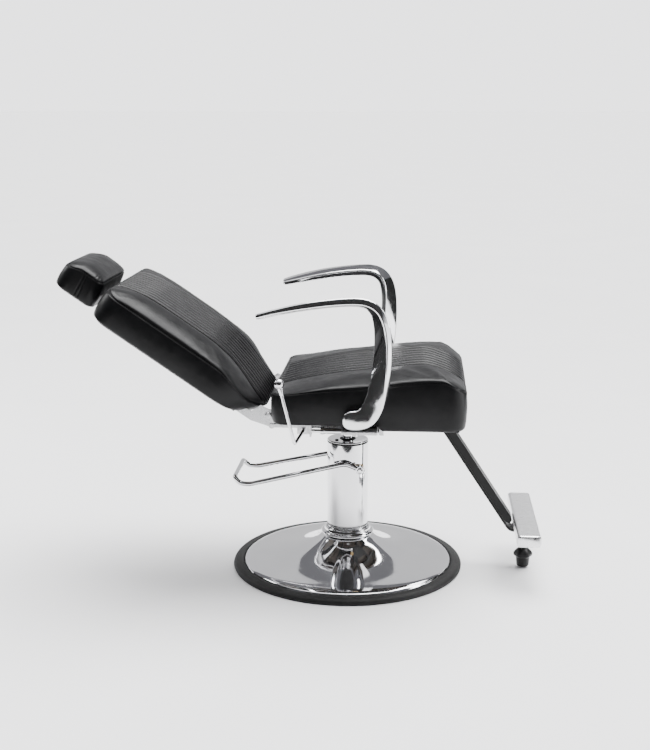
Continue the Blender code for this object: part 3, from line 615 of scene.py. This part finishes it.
def inflated(points, faces, spec):
    """How far each point moves when the cover is filled: cloth under pressure, held where it's sewn."""
    thing = voxel_copy(points, faces, spec["voxel"])
    rest = coordinates_of(thing.data)
    held = thing.vertex_groups.new(name="held")
    for k, (x, y, z) in enumerate(rest):
        below = z < spec["bottom"](x) + 0.012
        near_seam = abs(z - spec["seam"](x)) < 0.007 and spec["edge_distance"](x, y) < 0.012
        if below or near_seam:
            held.add([k], 1.0, "REPLACE")
    cloth = thing.modifiers.new("Cloth", "CLOTH")
    cloth.settings.use_pressure = True
    cloth.settings.uniform_pressure_force = spec["pressure"]
    cloth.settings.vertex_group_mass = "held"
    cloth.settings.effector_weights.gravity = 0.0
    cloth.point_cache.frame_start = 1
    cloth.point_cache.frame_end = CLOTH_FRAMES
    scene = bpy.context.scene
    for number in range(1, CLOTH_FRAMES + 1):
        scene.frame_set(number)
    graph = bpy.context.evaluated_depsgraph_get()
    moved = coordinates_of(thing.evaluated_get(graph).to_mesh()) - rest
    thing.evaluated_get(graph).to_mesh_clear()
    reach = np.linalg.norm(moved, axis=1)
    moved *= np.minimum(1.0, spec["cap"] / np.maximum(reach, 1e-9))[:, None]
    scene.frame_set(1)
    tree = KDTree(len(rest))
    for k, point in enumerate(rest):
        tree.insert(point, k)
    tree.balance()
    result = np.zeros((len(points), 3))
    for k, point in enumerate(points):
        found = tree.find_n(point, 8)
        weights = np.array([1.0 / (distance + 0.002) for _, _, distance in found])
        result[k] = (moved[[spot for _, spot, _ in found]] * weights[:, None]).sum(0) / weights.sum()
    bpy.data.objects.remove(thing, do_unlink=True)
    return result


def cushion(name, node, spec, matrix=None):
    """A sewn cushion: its form, the cloth's filling, then grooves, seams and puckers on top."""
    points, faces, pull, rings = build_cushion(spec)
    places = np.array(points, float)
    places += inflated(points, faces, spec)
    mesh = bpy.data.meshes.new(name)
    mesh.from_pydata([tuple(spot) for spot in places], [], faces)
    shape = bmesh.new()
    shape.from_mesh(mesh)
    bmesh.ops.recalc_face_normals(shape, faces=shape.faces)
    shape.verts.ensure_lookup_table()
    shape.normal_update()
    for k, vertex in enumerate(shape.verts):
        spot = Vector(points[k])
        ease = math.exp(-spec["edge_distance"](spot.x, spot.y) / 0.03)
        above = spot.z > spec["bottom"](spot.x) + 0.02
        pucker = PUCKER * ease * above * perlin(spot * 70)
        vertex.co -= vertex.normal * (pull[k] + pucker)
    if matrix is not None:
        bmesh.ops.transform(shape, matrix=matrix, verts=shape.verts)
    shape.to_mesh(mesh)
    shape.free()
    thing = bpy.data.objects.new(name, mesh)
    bpy.context.scene.collection.objects.link(thing)
    finish_piece(thing, node, sharp=180)
    return thing, rings


def without_collapsed_faces(thing):
    """Merges the points that fall together at the recess's corners, and the faces left with no area."""
    shape = bmesh.new()
    shape.from_mesh(thing.data)
    bmesh.ops.remove_doubles(shape, verts=shape.verts, dist=2e-6)
    bmesh.ops.dissolve_degenerate(shape, dist=2e-6, edges=shape.edges)
    shape.to_mesh(thing.data)
    shape.free()
    thing.data.shade_smooth()


def even_points(path, spacing):
    """Points at equal steps round a closed path."""
    lengths = [0.0]
    closed = path + path[:1]
    for first, second in zip(closed, closed[1:]):
        lengths.append(lengths[-1] + (second - first).length)
    count = int(lengths[-1] / spacing)
    found, segment = [], 0
    for k in range(count):
        target = lengths[-1] * k / count
        while lengths[segment + 1] < target:
            segment += 1
        t = (target - lengths[segment]) / max(lengths[segment + 1] - lengths[segment], 1e-9)
        found.append(closed[segment].lerp(closed[segment + 1], t))
    return found


def stitches(name, thing, ring, node, inward=0.0055, spacing=0.0062, long=0.0036, thick=0.00042):
    """A row of thread stitches on the top panel, a little way in from its seam."""
    mesh = thing.data
    surface_tree = BVHTree.FromPolygons(
        [vertex.co for vertex in mesh.vertices], [face.vertices for face in mesh.polygons]
    )
    seam = [mesh.vertices[spot].co.copy() for spot in ring]
    centre = sum(seam, Vector()) / len(seam)
    line = even_points(seam, spacing)
    shape = bmesh.new()
    for k, spot in enumerate(line):
        inner = spot + (centre - spot).normalized() * inward
        hit, normal, _, _ = surface_tree.find_nearest(inner)
        along = (line[(k + 1) % len(line)] - line[k - 1]).normalized()
        along = (along - normal * along.dot(normal)).normalized()
        bead = bmesh.ops.create_cube(shape, size=1.0)["verts"]
        bmesh.ops.scale(shape, vec=(long, thick * 2.4, thick * 2), verts=bead)
        turn = Matrix((along, normal.cross(along), normal)).transposed().to_4x4()
        bmesh.ops.transform(
            shape, matrix=Matrix.Translation(hit + normal * thick * 0.4) @ turn, verts=bead
        )
    made = link(name, shape)
    return finish_piece(made, node, material=THREAD, replaced=[])


def piping(name, thing, ring, node, radius=0.0021):
    path = even_points([thing.data.vertices[spot].co.copy() for spot in ring], 0.006)
    made = link(name, tube(path, radius, closed=True, sides=10, across=Vector((0.3, 0.2, 0.93))))
    return finish_piece(made, node, replaced=[])


def spaced(count, width):
    return [width * (k / (count - 1) - 0.5) for k in range(count)]


def plan_edge(low, high, half):
    """The distance in from a cushion's plan edge."""
    return lambda x, y: max(min(x - low, high - x, half - abs(y)), 0.0)


def seat_spec():
    low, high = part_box("seat_cushion")
    front, rear = high.x - 0.001, low.x - 0.005
    half = high.y - 0.004
    step_x, base = 0.090, low.z + 0.0005

    def bottom(x):
        return base + 0.011 * smooth_step((step_x + 0.006 - x) / 0.012)

    def seam(x):
        rise = 0.5104 + 0.0131 * smooth_step((x - low.x) / 0.17) + 0.0228 * smooth_step((x + 0.02) / 0.26)
        return rise - 0.030 * smooth_step((x - 0.235) / 0.075)

    def along(share):
        if share < 0:
            return (1 - abs(share) ** 2.0) ** 1.6
        return (1 - share**5) ** 0.75

    return {
        "low": rear, "high": front, "half": half, "radius": (0.035, 0.040), "count": 84,
        "grooves": spaced(9, 0.239), "depth": 0.0050, "crown": 0.0165, "seam": seam,
        "bottom": bottom, "along": along, "across": lambda y: (1 - min(y, 1.0) ** 14.0) ** 0.5,
        "seam_pull": 0.0026, "puff": 0.0035, "under": 0.010, "cross_depth": 0.0,
        "recess": (-0.1505, 0.2805, 0.2365, 0.4656), "voxel": 0.006, "pressure": 4.0,
        "cap": 0.006, "fill": 0.85, "edge_distance": plan_edge(rear, front, half),
    }


def local_box(node):
    """A node's box in the backrest's frame."""
    spots = np.array([BACK.inverted() @ vertex.co for vertex in NODES[node].data.vertices])
    return Vector(spots.min(0)), Vector(spots.max(0))


def back_spec():
    low, high = local_box("back_cushion")
    half = high.y - 0.004
    rear = low.z

    def seam(x):
        return 0.036 - 0.032 * smooth_step((0.1685 + x) / 0.13)

    def along(share):
        return (1 - abs(share) ** 5.0) ** 0.5 if share < 0 else (1 - share**2) ** 0.75

    return {
        "low": low.x - 0.005, "high": high.x - 0.002, "half": half, "radius": (0.045, 0.130),
        "count": 84, "grooves": spaced(12, 0.266), "depth": 0.0050, "crown": 0.024, "seam": seam,
        "bottom": lambda x: rear + 0.0005, "along": along,
        "across": lambda y: (1 - min(y, 1.0) ** 8.0) ** 0.5, "seam_pull": 0.0026, "puff": 0.004,
        "under": 0.012, "lean": 0.030, "cross_depth": 0.0, "joins": (-0.270,),
        "recess": (-0.4565, -0.0760, 0.2005, -0.0120), "voxel": 0.006, "pressure": 4.0,
        "cap": 0.005, "fill": 0.85,
        "edge_distance": plan_edge(low.x, high.x, half),
    }


def head_spec():
    low, high = local_box("headrest_cushion")
    half = high.y - 0.003
    rear = low.z

    def seam(x):
        return 0.021 - 0.012 * smooth_step((-x - 0.575) / 0.05)

    return {
        "low": low.x + 0.001, "high": high.x - 0.013, "half": half, "radius": (0.030, 0.022),
        "lean": -0.011, "count": 40, "grooves": [], "depth": 0.0, "crown": 0.014, "seam": seam,
        "bottom": lambda x: rear + 0.0005, "along": lambda share: (1 - abs(share) ** 3.2) ** 0.55,
        "across": lambda y: (1 - min(y, 1.0) ** 5.0) ** 0.5, "seam_pull": 0.0020, "puff": 0.003,
        "under": 0.010, "cross": (-0.533, -0.540), "cross_depth": 0.0012, "joins": (-0.568, -0.560),
        "recess": (-0.597, -0.530, 0.0207, -0.0286), "voxel": 0.004, "pressure": 4.0,
        "cap": 0.003, "fill": 0.8, "edge_distance": plan_edge(low.x, high.x, half),
    }


def make_cushions():
    seat, seat_rings = cushion("seat_upholstery", "seat_cushion", seat_spec())
    stitches("seat_stitching", seat, seat_rings["seam"], "seat_cushion")
    back, back_rings = cushion("back_upholstery", "back_cushion", back_spec(), BACK)
    stitches("back_stitching", back, back_rings["seam"], "back_cushion")
    piping("back_piping", back, back_rings["hem"], "back_cushion")
    head, head_rings = cushion("headrest_upholstery", "headrest_cushion", head_spec(), BACK)
    stitches("headrest_stitching", head, head_rings["seam"], "headrest_cushion")
    piping("headrest_piping", head, head_rings["hem"], "headrest_cushion", 0.0015)
    for thing in (seat, back, head):
        without_collapsed_faces(thing)


# ---------------------------------------------------------------- armrests


# along an armrest, tip to foot: X, distance from the middle, Z, width, thickness, twist in degrees
ARM_STATIONS = (
    (-0.1965, 0.292, 0.7055, 0.028, 0.0105, 12),
    (-0.1880, 0.292, 0.7075, 0.036, 0.012, 12),
    (-0.1550, 0.291, 0.7160, 0.045, 0.013, 12),
    (-0.0950, 0.290, 0.7285, 0.048, 0.016, 12),
    (-0.0300, 0.289, 0.7380, 0.048, 0.017, 12),
    (0.0280, 0.288, 0.7420, 0.048, 0.018, 13),
    (0.0600, 0.287, 0.7370, 0.048, 0.018, 17),
    (0.0810, 0.286, 0.7210, 0.048, 0.018, 24),
    (0.0920, 0.285, 0.6950, 0.048, 0.018, 33),
    (0.0965, 0.284, 0.6600, 0.048, 0.017, 40),
    (0.0965, 0.283, 0.6150, 0.048, 0.017, 46),
    (0.0925, 0.282, 0.5680, 0.049, 0.017, 52),
    (0.0860, 0.280, 0.5270, 0.050, 0.017, 60),
    (0.0760, 0.277, 0.4930, 0.050, 0.017, 70),
    (0.0610, 0.274, 0.4690, 0.049, 0.017, 80),
    (0.0420, 0.272, 0.4585, 0.048, 0.017, 88),
    (0.0220, 0.272, 0.4572, 0.046, 0.017, 90),
    (0.0100, 0.272, 0.4572, 0.036, 0.016, 90),
    (0.0040, 0.272, 0.4572, 0.020, 0.013, 90),
)


ARM_INSET = 0.0012   # keeps the smooth armrest inside the faceted one's width


def make_armrests():
    rows = spline(ARM_STATIONS, 7)
    for side, sign in SIDES:
        rings = []
        for i, (x, y, z, width, thick, twist) in enumerate(rows):
            before, after = rows[max(i - 1, 0)], rows[min(i + 1, len(rows) - 1)]
            tangent = Vector(
                (after[0] - before[0], sign * (after[1] - before[1]), after[2] - before[2])
            ).normalized()
            across = Vector((0, 1, 0))
            across = (across - tangent * across.dot(tangent)).normalized()
            across.rotate(Matrix.Rotation(math.radians(sign * twist), 3, tangent))
            normal = tangent.cross(across)
            radius = min(0.0042, thick * 0.42, width * 0.3)
            centre = Vector((x, sign * (y - ARM_INSET), z))
            rings.append(
                [centre + across * a + normal * b for a, b in rounded_box_section(width, thick, radius)]
            )
        finish_piece(link(f"fine_armrest_{side}", lofted(rings)), f"armrest_{side}")


# ---------------------------------------------------------------- pump lever


def make_lever():
    pivot = Vector(JOINTS["pump_lever"]["pos_m"])
    hub_y = 0.066
    leg = [
        (pivot.x - 0.006, -hub_y, pivot.z + 0.003), (-0.002, -0.067, 0.2900),
        (-0.248, -0.083, 0.2350), (-0.272, -0.083, 0.2370), (-0.286, -0.080, 0.2520),
    ]
    path = rounded_path(leg + [(x, -y, z) for x, y, z in reversed(leg)], 0.014)
    rod = link("lever_rod", tube(path, 0.006, sides=24, across=Vector((0.35, 0.2, 0.92))))
    finish_piece(rod, "lever_loop")
    bore, rim, reach = 0.0053, 0.0105, 0.0059
    profile = refined([(bore, reach), (rim, reach), (rim, -reach), (bore, -reach)], True, 0.0012)
    for side, sign in SIDES:
        matrix = axes(pivot + Vector((0, sign * hub_y, 0)), (0, sign, 0), (1, 0, 0))
        hub = link(f"lever_hub_{side}", revolved(profile, True, 48), matrix)
        finish_piece(hub, "lever_loop", replaced=[])


# ---------------------------------------------------------------- footrest


def make_foot_bar():
    low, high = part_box("foot_bar")
    size = high - low
    section = rounded_box_section(size.x, size.z, 0.0085, 7)
    cap = 0.006
    half = size.y / 2
    offsets = [(-half, 0.90), (-half + 0.0015, 0.985), (-half + 0.003, 1.0), (-half + cap, 1.0)]
    offsets += [(-half + cap + 0.0002, 0.984), (-half + cap + 0.0008, 0.984), (-half + cap + 0.001, 1.0)]
    offsets += [(-y, scale) for y, scale in reversed(offsets)]
    centre = (low + high) / 2
    rings = [
        [centre + Vector((x * scale, y, z * scale)) for x, z in section] for y, scale in offsets
    ]
    finish_piece(link("fine_foot_bar", lofted(rings)), "foot_bar", material=SATIN_ALUMINIUM)


def make_foot_knob():
    def lobes(radius, height, angle):
        rim = smooth_step((radius - 0.015) / 0.006)
        return 1.0 - 0.085 * rim * (0.5 - 0.5 * math.cos(6 * angle))

    fine_turned("foot_knob", 0.0012, 96, swell=lobes)


def make_leg_pad():
    """The flat bar and the rounded pad on its front, with softened edges."""
    for node, width in (("footrest_leg", 0.0012), ("leg_pad", 0.0024)):
        shape = bmesh.new()
        shape.from_mesh(NODES[node].data)
        bmesh.ops.remove_doubles(shape, verts=shape.verts, dist=1e-6)
        bmesh.ops.dissolve_limit(
            shape, angle_limit=math.radians(1), verts=shape.verts, edges=shape.edges
        )
        thing = link(f"fine_{node}", shape)
        rounding = thing.modifiers.new("Rounded", "BEVEL")
        rounding.width = width
        rounding.segments = 4
        rounding.limit_method = "ANGLE"
        rounding.angle_limit = math.radians(50)
        finish_piece(thing, node)


# ---------------------------------------------------------------- release lever


def make_release():
    pivot = Vector(JOINTS["release_lever"]["pos_m"])
    path = [
        (pivot.x, pivot.y + 0.0065, pivot.z), (pivot.x, pivot.y - 0.020, pivot.z),
        (-0.1100, -0.2860, 0.3995), (-0.1385, -0.2900, 0.5180),
    ]
    bent = rounded_path(path, 0.009)
    rod = link("release_rod", tube(bent, 0.0039, sides=20, across=Vector((1, 0.1, 0))))
    finish_piece(rod, "release_lever")
    end, low = Vector(path[-1]), Vector(path[-2])
    ball, height = 0.0120, 0.0300
    profile = [(0.0, 0.0005), (0.0046, 0.0005), (0.0046, 0.0020), (0.0068, 0.0190)]
    for k in range(25):
        angle = math.radians(-56 + 146 * k / 24)
        profile.append((max(ball * math.cos(angle), 0.0), height + ball * math.sin(angle)))
    upward = (end - low).normalized()
    matrix = axes(end, end - low, Vector((0, 1, 0)) - upward * upward.y)
    finish_piece(link("release_ball", revolved(profile, False, 56), matrix), "release_knob")


# ---------------------------------------------------------------- turned metal


def make_turned():
    for node, radius, steps in (
        ("base_dome", 0.0022, 160), ("base_trim_ring", 0.0020, 160), ("base_collar", 0.0016, 96),
        ("column_sleeve", 0.0005, 96), ("cylinder_head", 0.0010, 96), ("head_gasket", 0.0005, 96),
        ("rod_wiper_seal", 0.0005, 64), ("filler_plug", 0.0006, 40), ("piston_rod", 0.0010, 64),
        ("swivel_hub", 0.0016, 72), ("foot_stud", 0.0006, 40), ("ballast_plate", 0.0012, 96),
    ):
        fine_turned(node, radius, steps)
    for side, sign in SIDES:
        fine_turned(f"hinge_pin_{side}", 0.0008, 40, axis=(0, sign, 0))
        fine_turned(f"arm_bolt_{side}", 0.0006, 40)
    fine_turned("lock_tube", 0.0006, 48, axis=(1, 0, 0), side=(0, 0, -1))
    fine_turned("lock_rod", 0.0006, 48, axis=(1, 0, 0), side=(0, 0, -1))


# ---------------------------------------------------------------- stage


def area_light(name, place, target, size, energy):
    lamp = bpy.data.lights.new(name, "AREA")
    lamp.shape = "RECTANGLE"
    lamp.size, lamp.size_y = size
    lamp.energy = energy
    thing = bpy.data.objects.new(name, lamp)
    bpy.context.scene.collection.objects.link(thing)
    thing.location = place
    thing.rotation_euler = (Vector(target) - Vector(place)).to_track_quat("-Z", "Y").to_euler()


def plane(name, size, matrix, material):
    shape = bmesh.new()
    bmesh.ops.create_grid(shape, x_segments=1, y_segments=1, size=0.5)
    bmesh.ops.scale(shape, vec=(*size, 1), verts=shape.verts)
    thing = link(name, shape, matrix)
    thing.data.materials.append(material)
    return thing


def make_stage():
    """A pale floor and soft overhead light; three dark cards and a glowing one only reflections see."""
    pale = surface("floor", ((0.84, 0.84, 0.845), (0.86, 0.86, 0.865)), (0.55, 0.65), 0.0, 20.0)
    plane("floor", (400, 400), Matrix.Translation((0, 0, -0.0005)), pale)
    black = dark("card", 0.01, (0.8, 0.9), 20.0, (0.05, 0.0003))
    for name, place, turn, size in (
        ("card_front", (0.0, -2.1, 1.30), Matrix.Rotation(math.pi / 2, 4, "X"), (4.4, 2.6)),
        ("card_left", (-1.75, -0.6, 0.60), Matrix.Rotation(math.pi / 2, 4, "Y"), (1.2, 2.6)),
        ("card_right", (1.80, 1.15, 0.75), Matrix.Rotation(math.pi / 2, 4, "Y"), (1.4, 1.7)),
    ):
        card = plane(name, size, Matrix.Translation(place) @ turn, black)
        card.visible_camera = False
        card.visible_shadow = False
        card.visible_diffuse = False
    glow, _, shader = new_material("backdrop_glow")
    shader.inputs["Base Color"].default_value = (0.0, 0.0, 0.0, 1.0)
    shader.inputs["Emission Color"].default_value = (0.98, 0.98, 1.0, 1.0)
    shader.inputs["Emission Strength"].default_value = 0.85
    turn = Matrix.Rotation(math.pi / 2, 4, "X")
    backdrop = plane("backdrop", (5.0, 1.5), Matrix.Translation((0.0, 1.9, 0.75)) @ turn, glow)
    backdrop.visible_camera = False
    backdrop.visible_shadow = False
    backdrop.visible_diffuse = False
    overhead = bpy.data.lights.new("overhead", "SUN")
    overhead.energy = 8.0
    overhead.angle = math.radians(55)
    thing = bpy.data.objects.new("overhead", overhead)
    bpy.context.scene.collection.objects.link(thing)
    thing.rotation_euler = Vector((-0.22, -0.30, -1.0)).to_track_quat("-Z", "Y").to_euler()
    area_light("right", (3.2, -0.2, 1.5), (0.1, 0, 0.5), (0.9, 2.0), 60)
    area_light("left", (-3.0, 0.8, 1.9), (-0.2, 0, 0.5), (0.9, 1.6), 45)
    make_world()


def make_world():
    """A pale backdrop round the horizon, dark overhead and towards the front."""
    world = bpy.data.worlds.new("studio")
    bpy.context.scene.world = world
    world.use_nodes = True
    tree = world.node_tree
    background = tree.nodes["Background"]
    where = tree.nodes.new("ShaderNodeTexCoord")
    split = tree.nodes.new("ShaderNodeSeparateXYZ")
    tree.links.new(where.outputs["Generated"], split.inputs["Vector"])
    height = tree.nodes.new("ShaderNodeValToRGB")
    height.color_ramp.elements[0].position = 0.07
    height.color_ramp.elements[0].color = (1, 1, 1, 1)
    height.color_ramp.elements[1].position = 0.17
    height.color_ramp.elements[1].color = (0, 0, 0, 1)
    for position, level in ((0.70, 0.02), (0.84, 0.85)):
        height.color_ramp.elements.new(position).color = (level, level, level, 1)
    tree.links.new(split.outputs["Z"], height.inputs["Fac"])
    behind = ranged(tree, split.outputs["Y"], 0.0, 1.0, (-0.65, -0.10))
    backdrop = tree.nodes.new("ShaderNodeMath")
    backdrop.operation = "MULTIPLY"
    tree.links.new(behind, backdrop.inputs[0])
    tree.links.new(height.outputs["Color"], backdrop.inputs[1])
    seen = tree.nodes.new("ShaderNodeLightPath")
    share = tree.nodes.new("ShaderNodeMath")
    share.operation = "MAXIMUM"
    tree.links.new(backdrop.outputs["Value"], share.inputs[0])
    tree.links.new(seen.outputs["Is Camera Ray"], share.inputs[1])
    tint = ramp(tree, share.outputs["Value"], (0.06, 0.06, 0.065), (0.98, 0.98, 1.0), (0.0, 1.0))
    tree.links.new(tint, background.inputs["Color"])
    background.inputs["Strength"].default_value = 2.8


def make_camera():
    camera = bpy.data.cameras.new("camera")
    camera.lens = 59.5
    camera.sensor_width = 36.0
    thing = bpy.data.objects.new("camera", camera)
    bpy.context.scene.collection.objects.link(thing)
    thing.location = (0.178, -3.107, 1.189)
    thing.rotation_euler = (math.radians(90 - 12.35), 0, math.radians(4.37))
    bpy.context.scene.camera = thing


for node, thing in NODES.items():
    thing.data.materials.clear()
    thing.data.materials.append(MATERIALS[SLOT_OF[node]])

make_camera()
make_stage()
make_turned()
make_lever()
make_armrests()
make_foot_bar()
make_foot_knob()
make_leg_pad()
make_release()
make_cushions()
